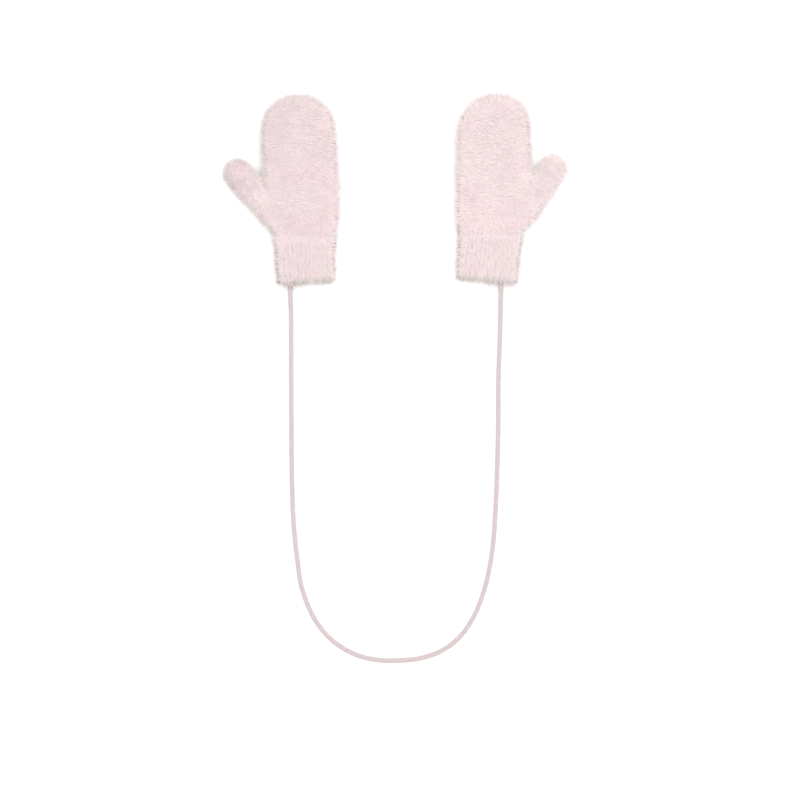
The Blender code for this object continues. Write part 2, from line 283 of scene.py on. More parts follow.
def evenly_spaced(line, step):
    """Points along a fine line with the same distance between each two."""
    lengths = np.concatenate([[0], np.cumsum(np.linalg.norm(np.diff(line, axis=0), axis=1))])
    count = round(lengths[-1] / step)
    at = np.linspace(0, lengths[-1], count + 1)
    return np.stack([np.interp(at, lengths, column) for column in line.T], 1)


# Camera, light and floor


def make_camera():
    distance = PHOTO_WIDTH * LENS / SENSOR * MM
    data = bpy.data.cameras.new("overhead camera")
    data.lens = LENS
    data.sensor_width = SENSOR
    data.clip_start = 0.05
    data.clip_end = 20.0
    camera = linked("overhead camera", data)
    camera.location = (
        PHOTO_MIDDLE[0] * MM, PHOTO_MIDDLE[1] * MM, distance + OUTLINE_HEIGHT * MM,
    )
    bpy.context.scene.camera = camera


def make_area_light(lamp):
    data = bpy.data.lights.new(lamp.name, "AREA")
    data.shape = "DISK"
    data.size = lamp.size
    data.energy = lamp.watts
    data.color = lamp.colour
    light = linked(lamp.name, data)
    light.location = lamp.place
    light.rotation_euler = (Vector(lamp.aim) - Vector(lamp.place)).to_track_quat("-Z", "Y").to_euler()


def make_studio():
    """A white paper floor, and light that is even all round, with a little more from above."""
    floor_shape = bmesh.new()
    bmesh.ops.create_grid(floor_shape, x_segments=1, y_segments=1, size=FLOOR_HALF)
    mesh = bpy.data.meshes.new("floor")
    floor_shape.to_mesh(mesh)
    floor_shape.free()
    floor = linked("floor", mesh)
    paper = bpy.data.materials.new("white paper")
    paper.use_nodes = True
    surface = paper.node_tree.nodes["Principled BSDF"]
    surface.inputs["Base Color"].default_value = PAPER_COLOUR
    surface.inputs["Roughness"].default_value = 0.95
    surface.inputs["Specular IOR Level"].default_value = 0.1
    mesh.materials.append(paper)

    for lamp in LAMPS:
        make_area_light(lamp)
    world = bpy.data.worlds.new("studio")
    world.use_nodes = True
    air = world.node_tree.nodes["Background"]
    air.inputs["Color"].default_value = WHITE
    air.inputs["Strength"].default_value = 1.0
    scene = bpy.context.scene
    scene.world = world
    scene.view_settings.view_transform = "Standard"
    scene.view_settings.look = "None"


# Materials


def socket_of(group, name, kind, way, value=None):
    made = group.interface.new_socket(name=name, in_out=way, socket_type=kind)
    if value is not None:
        made.default_value = value
    return made


def maths(tree, operation, first, second=None, third=None):
    """A maths node, whose inputs are sockets or numbers, and its output."""
    node = tree.nodes.new("ShaderNodeMath")
    node.operation = operation
    for at, value in enumerate((first, second, third)):
        if value is None:
            continue
        if isinstance(value, (int, float)):
            node.inputs[at].default_value = value
        else:
            tree.links.new(value, node.inputs[at])
    return node.outputs[0]


def ramp(tree, share, stops):
    """The colour at a share of the way through stops, each a place and a colour."""
    node = tree.nodes.new("ShaderNodeValToRGB")
    elements = node.color_ramp.elements
    for place, colour in stops[1:-1]:
        elements.new(place).color = colour
    for end in (0, -1):
        elements[end].position, elements[end].color = stops[end]
    tree.links.new(share, node.inputs["Fac"])
    return node.outputs["Color"]


def make_stitch_group():
    """Rows of V-shaped knit stitches, as a height from 0 to 1. Place is in metres, across and along."""
    group = bpy.data.node_groups.new("knit stitches", "ShaderNodeTree")
    socket_of(group, "Place", "NodeSocketVector", "INPUT")
    socket_of(group, "Column Width", "NodeSocketFloat", "INPUT", 0.002)
    socket_of(group, "Row Height", "NodeSocketFloat", "INPUT", 0.0017)
    socket_of(group, "Height", "NodeSocketFloat", "OUTPUT")
    start = group.nodes.new("NodeGroupInput")
    end = group.nodes.new("NodeGroupOutput")
    split = group.nodes.new("ShaderNodeSeparateXYZ")
    group.links.new(start.outputs["Place"], split.inputs[0])
    across = maths(group, "DIVIDE", split.outputs["X"], start.outputs["Column Width"])
    along = maths(group, "DIVIDE", split.outputs["Y"], start.outputs["Row Height"])
    inside = maths(group, "SUBTRACT", maths(group, "FRACT", across), 0.5)
    from_middle = maths(group, "MULTIPLY", maths(group, "ABSOLUTE", inside), 2.0)
    slanted = maths(group, "ADD", along, maths(group, "MULTIPLY", from_middle, 0.8))
    loop = maths(group, "SINE", maths(group, "MULTIPLY", maths(group, "FRACT", slanted), pi))
    leg = maths(group, "SINE", maths(group, "MULTIPLY", from_middle, pi))
    height = maths(group, "MULTIPLY", maths(group, "POWER", loop, 0.6), maths(group, "POWER", leg, 0.4))
    group.links.new(height, end.inputs["Height"])
    return group


def make_mottle_group():
    """Soft uneven patches of colour, as in yarn that was dyed and brushed."""
    group = bpy.data.node_groups.new("yarn mottle", "ShaderNodeTree")
    socket_of(group, "Low", "NodeSocketColor", "INPUT", (0.5, 0.5, 0.5, 1))
    socket_of(group, "High", "NodeSocketColor", "INPUT", (0.8, 0.8, 0.8, 1))
    socket_of(group, "Scale", "NodeSocketFloat", "INPUT", 300.0)
    socket_of(group, "Color", "NodeSocketColor", "OUTPUT")
    start = group.nodes.new("NodeGroupInput")
    end = group.nodes.new("NodeGroupOutput")
    place = group.nodes.new("ShaderNodeTexCoord")
    patches = group.nodes.new("ShaderNodeTexNoise")
    patches.inputs["Detail"].default_value = 4.0
    patches.inputs["Roughness"].default_value = 0.6
    group.links.new(place.outputs["Object"], patches.inputs["Vector"])
    group.links.new(start.outputs["Scale"], patches.inputs["Scale"])
    mix = group.nodes.new("ShaderNodeMix")
    mix.data_type = "RGBA"
    group.links.new(patches.outputs["Fac"], mix.inputs["Factor"])
    group.links.new(start.outputs["Low"], mix.inputs["A"])
    group.links.new(start.outputs["High"], mix.inputs["B"])
    group.links.new(mix.outputs["Result"], end.inputs["Color"])
    return group


def fabric(name, roughness=0.95, sheen=0.25):
    made = bpy.data.materials.new(name)
    made.use_nodes = True
    surface = made.node_tree.nodes["Principled BSDF"]
    surface.inputs["Roughness"].default_value = roughness
    surface.inputs["Specular IOR Level"].default_value = 0.15
    surface.inputs["Sheen Weight"].default_value = sheen
    surface.inputs["Sheen Roughness"].default_value = 0.6
    return made, made.node_tree, surface


def make_knit_material(name, stitches, mottle, low, high, stitch):
    """A knit whose stitches are drawn on the object's own coordinates."""
    made, tree, surface = fabric(name)
    colour = tree.nodes.new("ShaderNodeGroup")
    colour.node_tree = mottle
    colour.inputs["Low"].default_value = low
    colour.inputs["High"].default_value = high
    tree.links.new(colour.outputs["Color"], surface.inputs["Base Color"])
    place = tree.nodes.new("ShaderNodeTexCoord")
    knit = tree.nodes.new("ShaderNodeGroup")
    knit.node_tree = stitches
    knit.inputs["Column Width"].default_value = stitch.column * MM
    knit.inputs["Row Height"].default_value = stitch.row * MM
    tree.links.new(place.outputs["Object"], knit.inputs["Place"])
    bump = tree.nodes.new("ShaderNodeBump")
    bump.inputs["Strength"].default_value = 0.8
    bump.inputs["Distance"].default_value = stitch.relief * MM
    tree.links.new(knit.outputs["Height"], bump.inputs["Height"])
    tree.links.new(bump.outputs["Normal"], surface.inputs["Normal"])
    return made


def make_pile_material(name, deep, root, tip):
    """Hair whose colour goes from a darker root, painted shade deep in the pile, to its tip, in a range of
    lightness and of hues. Its UV map holds a hair's lightness across, and its hue's row with the way along
    the hair upwards."""
    made, tree, surface = fabric(name, roughness=0.9, sheen=0.1)
    place = tree.nodes.new("ShaderNodeUVMap")
    place.uv_map = HAIR_MAP
    split = tree.nodes.new("ShaderNodeSeparateXYZ")
    tree.links.new(place.outputs["UV"], split.inputs[0])
    rows, last = maths(tree, "MULTIPLY", split.outputs["Y"], len(HUES)), len(HUES) - 1
    hue_row = maths(tree, "DIVIDE", maths(tree, "FLOOR", rows), last)
    colour = ramp(tree, maths(tree, "FRACT", rows), [(0.0, deep), (0.35, root), (0.85, tip)])
    hue = ramp(tree, hue_row, [(row / last, HUES[row]) for row in range(len(HUES))])
    light = ramp(tree, split.outputs["X"], [(0.0, (DARKEST, DARKEST, DARKEST, 1)), (1.0, WHITE)])
    for other in (hue, light):
        mix = tree.nodes.new("ShaderNodeMix")
        mix.data_type = "RGBA"
        mix.blend_type = "MULTIPLY"
        mix.inputs["Factor"].default_value = 1.0
        tree.links.new(colour, mix.inputs["A"])
        tree.links.new(other, mix.inputs["B"])
        colour = mix.outputs["Result"]
    tree.links.new(colour, surface.inputs["Base Color"])
    return made


# Hair


def ribbons(name, lines, facing, widths, lights, hues, material):
    """A flat tapered hair for each line, whose broad side looks the way of facing.

    lines is hairs by 3 points by 3. A hair is widest at its middle and ends in a point. lights and
    hues give each hair's lightness and hue from 0 to 1."""
    count = len(lines)
    along = unit(np.diff(lines, axis=1))
    roll = rng.normal(0, 0.25, (count, 1, 1))
    aside = unit(np.cross(along, facing[:, None, :]))
    aside = aside * np.cos(roll) + np.cross(aside, along) * np.sin(roll)
    half = aside * widths[:, None, None] / 2
    verts = np.stack([
        lines[:, 0] - half[:, 0] * 0.8, lines[:, 0] + half[:, 0] * 0.8,
        lines[:, 1] - half.mean(axis=1), lines[:, 1] + half.mean(axis=1), lines[:, 2],
    ], 1)
    faces = np.array([(0, 1, 3), (0, 3, 2), (2, 3, 4)])
    places = np.array([(0.0, 0.0), (1.0, 0.0), (0.0, 0.5), (1.0, 0.5), (0.5, 1.0)])[faces]
    starts = np.arange(count) * 5
    corners = (starts[:, None, None] + faces).reshape(-1)
    column = np.floor(np.clip(lights, 0, 0.999) * LIGHT_COLUMNS)
    row = np.floor(np.clip(hues, 0, 0.999) * (len(HUES) - 1) + rng.uniform(0, 1, count))
    uv = np.broadcast_to(places, (count, 3, 3, 2)).copy()
    uv[..., 0] = (column[:, None, None] + 0.1 + 0.8 * uv[..., 0]) / LIGHT_COLUMNS
    uv[..., 1] = (row[:, None, None] + 0.03 + 0.94 * uv[..., 1]) / len(HUES)

    mesh = bpy.data.meshes.new(name)
    mesh.vertices.add(count * 5)
    mesh.vertices.foreach_set("co", verts.astype(np.float32).ravel())
    mesh.loops.add(len(corners))
    mesh.loops.foreach_set("vertex_index", corners.astype(np.int32))
    mesh.polygons.add(count * 3)
    mesh.polygons.foreach_set("loop_start", np.arange(0, len(corners), 3, dtype=np.int32))
    mesh.update(calc_edges=True)
    layer = mesh.uv_layers.new(name=HAIR_MAP)
    layer.uv.foreach_set("vector", uv.astype(np.float32).ravel())
    return dressed(name, mesh, material)


def sampled(mesh, count, density):
    """Random points on a mesh with their normals. density gives each face's share for its normal."""
    mesh.calc_loop_triangles()
    corners = np.empty(len(mesh.loop_triangles) * 3, np.int32)
    mesh.loop_triangles.foreach_get("vertices", corners)
    corners = corners.reshape(-1, 3)
    at, normals = vectors(mesh), vectors(mesh, "normal")
    a, b, c = (at[corners[:, k]] for k in range(3))
    facing = unit(normals[corners].sum(axis=1))
    weight = np.linalg.norm(np.cross(b - a, c - a), axis=1) * density(facing)
    chosen = rng.choice(len(corners), count, p=weight / weight.sum())
    mix = rng.dirichlet((1.0, 1.0, 1.0), count)
    points = sum(at[corners[chosen, k]] * mix[:, k, None] for k in range(3))
    facing = unit(sum(normals[corners[chosen, k]] * mix[:, k, None] for k in range(3)))
    return points, facing


def wander(points, scale, seed):
    """Smooth noise about 0 at each point."""
    shift = Vector((seed * 17.3, seed * 5.1, seed * 9.7))
    return np.array([noise.noise(Vector(point) * scale + shift) for point in points])


def eased(share):
    share = np.clip(share, 0, 1)
    return share * share * (3 - 2 * share)


def underside(normals):
    """1 where a surface faces the floor, 0 where it doesn't."""
    return eased((-normals[:, 2] - 0.35) / 0.5)


def flank(normals):
    """1 where a surface is upright, 0 where it faces straight up or down."""
    return eased((np.linalg.norm(normals[:, :2], axis=1) - 0.35) / 0.6)


def by_face(values, side, under):
    """The value on top, at the sides and underneath, with smooth steps between them."""
    return (values.top * (1 - side) + values.side * side) * (1 - under) + values.under * under


def depth_at(normals, depth):
    """How far the knit lies inside the pile's outer face, in metres."""
    return by_face(depth, flank(normals), underside(normals)) * MM


# A pile's hairs and how many are in a lock, in millimetres how long and wide a hair is and how far a
# lock spreads, how much its tips close up and sway, whether it ends in a hem, how far past the outline
# its shortest hairs go, and the flow that it lies in
Pile = namedtuple("Pile", "hairs lock length width spread clump sway hem reach flow")
# What is known of each lock. Points and inset are in metres, the distance to the outline is in
# millimetres, and the rest are ways, or shares from 0 to 1.
Locks = namedtuple(
    "Locks", "points normals way inset distance nearest under side edge shaded hem at_seam crotch notch"
)


def placed(points, axis):
    """How far along its tube each point is, and how far aside from -1 to 1, with the tube's axes."""
    start, end = np.array(axis.start) * MM, np.array(axis.end) * MM
    along = unit(end - start)
    across = np.array([along[1], -along[0]])
    share = (points[:, :2] - start) @ along / np.linalg.norm(end - start)
    aside = (points[:, :2] - start) @ across / (axis.half_width * MM)
    return share, aside, along, across


def top_at(tree, x, y):
    """The place on a mitten that is seen from straight above, or None beside it."""
    return tree.ray_cast((x, y, ABOVE * MM), (0, 0, -1), DOWN * MM)[0]


def tree_of(places):
    """A tree that finds the nearest of some places, and its number."""
    tree = KDTree(len(places))
    for number, place in enumerate(places):
        tree.insert(place, number)
    tree.balance()
    return tree


def silhouette(skins, tree):
    """The places in plan on a mitten's outline, to find the way to the nearest."""
    found = []
    for mesh in skins:
        at, normals = vectors(mesh), vectors(mesh, "normal")
        upright = np.abs(normals[:, 2]) < UPRIGHT
        beside = at[upright, :2] + unit(normals[upright, :2]) * CLEAR * MM
        for place, (x, y) in zip(at[upright], beside):
            if top_at(tree, x, y) is None:
                found.append((place[0], place[1], 0))
    return tree_of(found)


def to_outline(outline, points, normals):
    """How far each point is from the outline in plan, in millimetres, the way to it and the place."""
    nearest = np.array([outline.find((place[0], place[1], 0))[0] for place in points])
    away = nearest[:, :2] - points[:, :2]
    return np.linalg.norm(away, axis=1) / MM, unit(away + normals[:, :2] * 1.5 * MM), nearest


def seam_of(mesh):
    """The places on a skin's edge where the thumb and hand meet."""
    shape = bmesh.new()
    shape.from_mesh(mesh)
    ends = [vert.co.copy() for vert in shape.verts if vert.is_boundary and vert.co.y > WRIST_Y * MM]
    shape.free()
    return tree_of(ends)


def to_places(tree, points):
    """How far each point is from the nearest place in a tree, in millimetres."""
    return np.array([tree.find(point)[2] for point in points]) / MM


def at_crotch(points, node):
    """1 where a thumb leaves its hand, falling to 0 around it."""
    away = points[:, :2] / MM - CROTCHES[node.split("_")[0]]
    return np.exp(-np.sum(away**2, axis=1) / CROTCH_RADIUS**2)


def in_notch(tree, points, normals):
    """1 for a point with the mitten's other side close in front of it, else 0."""
    found = np.zeros(len(points))
    for at in np.where(np.abs(normals[:, 2]) < 0.9)[0]:
        flat = Vector((normals[at, 0], normals[at, 1], 0)).normalized()
        start = Vector(points[at]) + flat * 0.3 * MM
        found[at] = tree.ray_cast(start, flat, NOTCH * MM)[0] is not None
    return found


def laid(points, node, flow, seed):
    """The way in plan that a flow gives each point on its tube."""
    share, aside, along, across = placed(points, AXES[node])
    turn = flow(share, aside, seed, points)
    return across[None] * np.sin(turn)[:, None] + along[None] * np.cos(turn)[:, None]


def combed(points, normals, node, flow, seed, distance, outward, nearest):
    """The way each lock lies on the surface: as its flow says, and to the outline near it, in tufts."""
    way = laid(points, node, flow, seed)
    share = placed(points, AXES[node])[0]
    near = 1 - eased(distance / EDGE_TURN)
    if "thumb" in node:
        own = eased(share / THUMB_BLEND)[:, None]
        way = way * own + laid(points, node.replace("thumb", "hand"), flow, seed) * (1 - own)
    if "hand" in node:
        near *= 0.4 + 0.6 * eased(share / 0.12)
    near = (near * (1 - at_crotch(points, node)))[:, None]
    beside = np.stack([-outward[:, 1], outward[:, 0]], 1)
    fine, turn = (HEM_TUFT_SCALE, HEM_TUFT_TURN) if "cuff" in node else (TUFT_SCALE, TUFT_TURN)
    tuft = wander(nearest, fine, seed + 19)[:, None] * turn
    out = outward + beside * tuft + rng.normal(0, COMB_NOISE, outward.shape)
    way = unit(way * (1 - near) + out * near)
    way = np.concatenate([way, np.zeros((len(way), 1))], 1)
    flat = way - normals * (way * normals).sum(axis=1, keepdims=True)
    # On an upright face such a way leads out of the cloth, so the hair there lies downwards
    weak = np.linalg.norm(flat, axis=1) < 0.3
    flat[weak] += np.cross(normals[weak], (0, 0, 1.0)) * rng.normal(0, 0.25, (weak.sum(), 1))
    flat[weak, 2] -= 0.25
    return unit(flat - normals * (flat * normals).sum(axis=1, keepdims=True))


def across_flow(share, aside, seed, points):
    """On a hand or thumb hair lies across it, outwards and a little to the wrist, and up to the tip."""
    outward = np.where(aside + rng.normal(0, 0.3, len(aside)) > 0, 1.0, -1.0)
    # Its turn down from straight across grows to the wrist, and over the last fifth it turns up
    down = 0.10 + 0.65 * eased(1 - share / 0.45) - 1.1 * eased((share - 0.8) / 0.2)
    down += 0.7 * eased(1 - share / 0.09)
    waves = wander(points, 48.0, seed) * 0.7 + wander(points, 150.0, seed + 3) * 0.4
    return outward * (pi / 2 + down) + waves + rng.normal(0, COMB_NOISE, len(aside))


def hem_flow(share, aside, seed, points):
    """On a cuff hair lies down to the hem and fans out towards the edges."""
    waves = wander(points, 60.0, seed) * 0.25 + wander(points, 190.0, seed + 3) * 0.2
    fan = np.sign(aside) * np.abs(aside) ** 2.2 * (0.35 + 0.6 * np.clip(share, 0, 1))
    return fan + waves + rng.normal(0, 0.08, len(aside))


def planted(node, mesh, mitten, depth, pile, density, seed):
    """The locks of a piece, with how each lies to the outline, the hem, the seam and the floor."""
    tree, outline, seam = mitten
    points, normals = sampled(mesh, pile.hairs // pile.lock, density)
    distance, outward, nearest = to_outline(outline, points, normals)
    way = combed(points, normals, node, pile.flow, seed, distance, outward, nearest)
    at_seam = 1 - eased(to_places(seam, points) / SEAM_WIDTH)
    crotch, notch = at_crotch(points, node), in_notch(tree, points, normals)
    under, side = underside(normals), flank(normals) * (1 - at_seam)
    edge = (1 - eased(distance / EDGE_SHADE)) * (1 - under)
    rim = LOOKS[node].rim
    shaded = edge * (rim + (1 - rim) * np.clip(outward @ SHADED_WAY, 0, 1)) * (1 - crotch)
    hem = pile.hem * (1 - eased(distance / HEM_SHADE)) * eased((-outward[:, 1] - 0.5) / 0.35)
    return Locks(
        points, normals, way, depth_at(normals, depth), distance, nearest, under, side, edge, shaded,
        hem, at_seam, crotch, notch,
    )


def coloured(node, locks, pile, seed, ribs):
    """Each lock's lightness and hue, from 0 to 1. A thumb's root has the look of its hand."""
    look, hand = LOOKS[node], LOOKS[node.replace("thumb", "hand")]
    points, count = locks.points, len(locks.points)
    own = eased(placed(points, AXES[node])[0] / THUMB_BLEND)
    patches = wander(points, 40.0, seed + 7) + wander(points, 150.0, seed + 5)
    # The slope is a painted gradient of light across the piece
    light = hand.light + (look.light - hand.light) * own + points[:, :2] @ look.slope / MM
    # The sides get painted light against the shade that falls on them
    light += PATCH_LIGHT * patches * look.contrast + SIDE_PAINTED_LIGHT * locks.side
    light += rng.normal(0, 1, count) * (LOCK_LIGHT * look.contrast + EDGE_LIGHT * locks.edge)
    # Painted light in a notch and where a thumb leaves its hand, where shade falls
    light += NOTCH_PAINTED_LIGHT * np.maximum(locks.notch * 0.5, locks.crotch)
    # Painted shade: on the outline away from the light, at the hem and underneath
    light -= look.shade * locks.shaded + HEM_PAINTED_SHADE * locks.hem + UNDER_PAINTED_SHADE * locks.under
    # Rib crests get painted light and their grooves painted shade
    if ribs:
        light += RIB_PAINTED_LIGHT * ribs_at(ribs, points) * (1 - locks.edge)
    stripes = wander(locks.nearest, STRIPE_SCALE + HEM_STRIPE_SCALE * pile.hem, seed + 17)
    stripes *= (1 - eased(locks.distance / EDGE_STRIPES)) * (1 - locks.under)
    light += stripes * (STRIPE_LIGHT + HEM_STRIPE_LIGHT * locks.hem)
    hue = hand.hue + (look.hue - hand.hue) * own
    hue += wander(points, 30.0, seed + 11) * 0.35 + wander(points, 120.0, seed + 13) * 0.2
    # The hue turns to the grey-brown of painted shade at the shaded outline, near the edge and at the hem
    hue += rng.normal(0, 0.1, count) - 0.5 * locks.shaded - 0.35 * locks.edge - 0.3 * locks.hem
    for x, y, radius in BLUSHES:
        blush = np.exp(-np.sum((points[:, :2] / MM - (x, y)) ** 2, axis=1) / radius**2)
        light, hue = light - BLUSH_DARK * blush, hue + BLUSH_HUE * blush
    return light, hue


def within_outline(length, beyond, lock):
    """Each hair's length in millimetres, so that near the outline it ends as far past it as beyond says."""
    along = 0.93 - 0.22 * lock.side
    room = (lock.distance + lock.inset / MM * lock.side + beyond) / along
    length = length + np.clip(beyond, 0, 2.5) * (1 - eased(lock.distance / 6.0))
    free = (lock.notch > 0) | (lock.crotch > 0.4)
    return np.where(free, length, np.minimum(length, np.maximum(room, SHORTEST)))


def grow(name, node, mesh, mitten, depth, pile, density, seed, material, ribs=None):
    """Locks of hair on a surface, whose tips lie about on the surface and whose roots are in the knit."""
    locks = planted(node, mesh, mitten, depth, pile, density, seed)
    light, hue = coloured(node, locks, pile, seed, ribs)
    count = len(locks.points)
    beyond = pile.reach + rng.exponential(LOCK_FRINGE, count) + rng.exponential(HEM_FRINGE, count) * locks.hem
    lock_length = pile.length * rng.uniform(0.8, 1.15, count)
    lock_length *= 1 + CROTCH_LONGER * locks.crotch + SEAM_LONGER * locks.at_seam
    lock_sway = rng.normal(0, pile.sway, count)

    # From here each value is a hair's, and lock is the lock that it stands in
    each = np.repeat(np.arange(count), pile.lock)
    total = len(each)
    lock = Locks(*(values[each] for values in locks))
    n, t, b = lock.normals, lock.way, np.cross(lock.normals, lock.way)
    stray = (rng.uniform(0, 1, total) < STRAY * (1 - lock.under)).astype(float)
    radius = pile.spread * np.sqrt(rng.uniform(0, 1, total)) * MM
    angle = rng.uniform(0, 2 * pi, total)
    before, beside = (radius * np.cos(angle))[:, None], (radius * np.sin(angle))[:, None]
    root = lock.points + t * before + b * beside - n * (lock.inset + ROOT_DEPTH * MM)[:, None]
    length = lock_length[each] * rng.uniform(0.75, 1.15, total) * (1 + STRAY_LONGER * stray)
    beyond = beyond[each] + rng.exponential(HAIR_FRINGE, total) * (1 - 0.5 * lock.hem)
    half = within_outline(length, beyond, lock)[:, None] / 2 * MM
    rise = (by_face(ROOT_RISE, lock.side, lock.under) * rng.uniform(0.85, 1.15, total))[:, None]
    fall = by_face(TIP_RISE, lock.side, lock.under) + rng.normal(0, 0.08, total) + 0.25 * stray
    fall = np.clip(fall, -0.3, 0.95)[:, None]
    sway = (lock_sway[each] + rng.normal(0, 0.05 + 0.25 * stray + 0.2 * lock.edge, total))[:, None]
    close = (pile.clump + 0.8 * lock.hem)[:, None] * beside
    middle = root + half * (n * rise + t * np.sqrt(1 - rise**2)) - b * close * 0.35
    tip = middle + half * (n * fall + t * np.sqrt(1 - fall**2) + b * sway) - b * close * 0.65
    lines = np.stack([root, middle, tip], 1)
    lines[..., 2] = np.maximum(lines[..., 2], FLOOR_GAP * MM)
    widths = pile.width * rng.uniform(0.75, 1.25, total) * (1 + 0.6 * lock.under) * MM
    widths *= (1 - 0.5 * stray) * (1 - 0.1 * lock.side + 0.3 * lock.at_seam)
    # Hairs that reach far past the outline get painted shade, darker and greyer
    far = eased(beyond / 1.6) * (1 - eased(lock.distance / 5.0)) * (1 - lock.under)
    lights = light[each] + rng.normal(0, LOCK_LIGHT * LOOKS[node].contrast, total) - FAR_PAINTED_SHADE * far
    return ribbons(name, lines, n, widths, lights, hue[each] - FAR_SHADE_HUE * far, material)


# Knit shells


def whole_mitten(side):
    """All of a mitten's solids, to ask what a ray from one of them meets."""
    shape = bmesh.new()
    for part in ("hand", "thumb", "cuff"):
        shape.from_mesh(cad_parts[f"{side}_{part}"].data)
    tree = BVHTree.FromBMesh(shape)
    shape.free()
    return tree


def is_outside(tree, place, normal):
    """Whether a face looks out of the mitten. Above and below a face of the hollow there is a wall."""
    start = place + normal * SKIN_CLEAR * MM
    return any(
        tree.ray_cast(start, (normal + Vector((0, 0, tilt))).normalized(), WALL_REACH * MM)[0] is None
        for tilt in RAY_SLOPES
    )


def outer_skin(node, tree):
    """The outside of a node's solid as one open sheet of small even faces."""
    shape = bmesh.new()
    shape.from_mesh(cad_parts[node].data)
    bmesh.ops.remove_doubles(shape, verts=shape.verts, dist=1e-6)
    mesh = bpy.data.meshes.new("skin")
    shape.to_mesh(mesh)
    shape.free()
    cloth = linked("skin", mesh)
    even = cloth.modifiers.new("even faces", "REMESH")
    even.mode = "VOXEL"
    even.voxel_size = SKIN_CELL * MM
    mesh = evaluated_mesh(cloth, "skin")
    shape = bmesh.new()
    shape.from_mesh(mesh)
    inner = [
        face for face in shape.faces
        if not is_outside(tree, face.calc_center_median(), face.normal)
    ]
    bmesh.ops.delete(shape, geom=inner, context="FACES")
    for _ in range(3):
        inland = [vert for vert in shape.verts if not vert.is_boundary and vert.co.z > 0.4 * MM]
        bmesh.ops.smooth_vert(
            shape, verts=inland, factor=0.5, use_axis_x=True, use_axis_y=True, use_axis_z=True
        )
    for vert in [vert for vert in shape.verts if vert.is_boundary]:
        inland = [edge.other_vert(vert).co for edge in vert.link_edges if not edge.is_boundary]
        if inland:
            away = vert.co - sum(inland, Vector()) / len(inland)
            vert.co += away.normalized() * SEAM_REACH * MM
    shape.to_mesh(mesh)
    shape.free()
    mesh.shade_smooth()
    return mesh


def lip_rows(base):
    """The sections of a hem's rounded lip."""
    made = []
    for step in range(1, LIP_RINGS + 1):
        angle = pi / 2 * step / LIP_RINGS
        taken = 1 - cos(angle)
        drop = LIP_LENGTH * sin(angle)
        made.append(Section(
            base.left_x + LIP_SIDE * taken, base.left_y - drop,
            base.right_x - LIP_SIDE * taken, base.right_y - drop,
            base.low + LIP_HEIGHT * taken, base.high - LIP_HEIGHT * taken,
        ))
    return made


def cuff_ring(section, depth, relief):
    """A cuff's section as points evenly spaced round it, taken in by depth, with ribs of that relief."""
    left = np.array([section.left_x, section.left_y, 0.0])
    right = np.array([section.right_x, section.right_y, 0.0])
    centre, half = (left + right) / 2, (right - left) / 2
    middle = (section.low + section.high) / 2
    rise, drop = section.high - middle, middle - section.low + PRESSED
    angle = np.linspace(0, 2 * pi, RIBS * POINTS_PER_RIB * 12 + 1)
    across = np.abs(np.cos(angle)) ** (2 / SQUARENESS) * np.sign(np.cos(angle))
    up = np.abs(np.sin(angle)) ** (2 / SQUARENESS)
    up = np.where(np.sin(angle) > 0, rise * up, -drop * up)
    line = centre + across[:, None] * half
    line[:, 2] = np.maximum(middle + up, 0)
    lengths = np.concatenate([[0], np.cumsum(np.linalg.norm(np.diff(line, axis=0), axis=1))])
    count = RIBS * POINTS_PER_RIB
    at = np.arange(count) / count * lengths[-1]
    points = np.stack([np.interp(at, lengths, column) for column in line.T], 1)
    tangent = np.roll(points, -1, 0) - np.roll(points, 1, 0)
    out = unit(np.cross(unit(np.cross((0, 0, 1.0), half)), tangent))
    wave = np.cos(2 * pi * (np.arange(count) / POINTS_PER_RIB + RIB_PHASE))
    free = np.clip(points[:, 2] / RIB_FREE_HEIGHT, 0, 1)
    return (points + out * (wave * free * relief / 2 - depth_at(out, depth) / MM)[:, None]) * MM


def tube(rings):
    """A tube through rings of points, each with the same count."""
    shape = bmesh.new()
    bmesh.ops.create_circle(shape, cap_ends=False, segments=len(rings[0]), radius=1.0)
    shape.verts.ensure_lookup_table()
    current = list(shape.verts)
    for vert, place in zip(current, rings[0]):
        vert.co = place
    edges = list(shape.edges)
    for ring in rings[1:]:
        made = bmesh.ops.extrude_edge_only(shape, edges=edges)["geom"]
        fresh = {item for item in made if isinstance(item, bmesh.types.BMVert)}
        edges = [item for item in made if isinstance(item, bmesh.types.BMEdge)
                 and item.verts[0] in fresh and item.verts[1] in fresh]
        current = [
            next(edge.other_vert(vert) for edge in vert.link_edges if edge.other_vert(vert) in fresh)
            for vert in current
        ]
        for vert, place in zip(current, ring):
            vert.co = place
    return shape


def mesh_of(shape, name):
    """The shape as a mesh whose faces look out of the tube."""
    bmesh.ops.remove_doubles(shape, verts=shape.verts, dist=1e-7)
    bmesh.ops.recalc_face_normals(shape, faces=shape.faces)
    shape.normal_update()
    top = max(shape.faces, key=lambda face: face.calc_center_median().z)
    if top.normal.z < 0:
        bmesh.ops.reverse_faces(shape, faces=shape.faces)
    mesh = bpy.data.meshes.new(name)
    shape.to_mesh(mesh)
    shape.free()
    mesh.shade_smooth()
    return mesh


def cuff_rows(side):
    """A cuff's sections down to the end of its lip, and how far the ribs have risen at each."""
    rows = [Section(*row) for row in smooth_rows(CUFFS[side], ROWS_PER_SECTION)]
    risen = [float(eased(number / len(rows) / RIB_START)) for number in range(len(rows))]
    lip = lip_rows(rows[-1])
    return rows + lip, risen + [1.0] * len(lip)


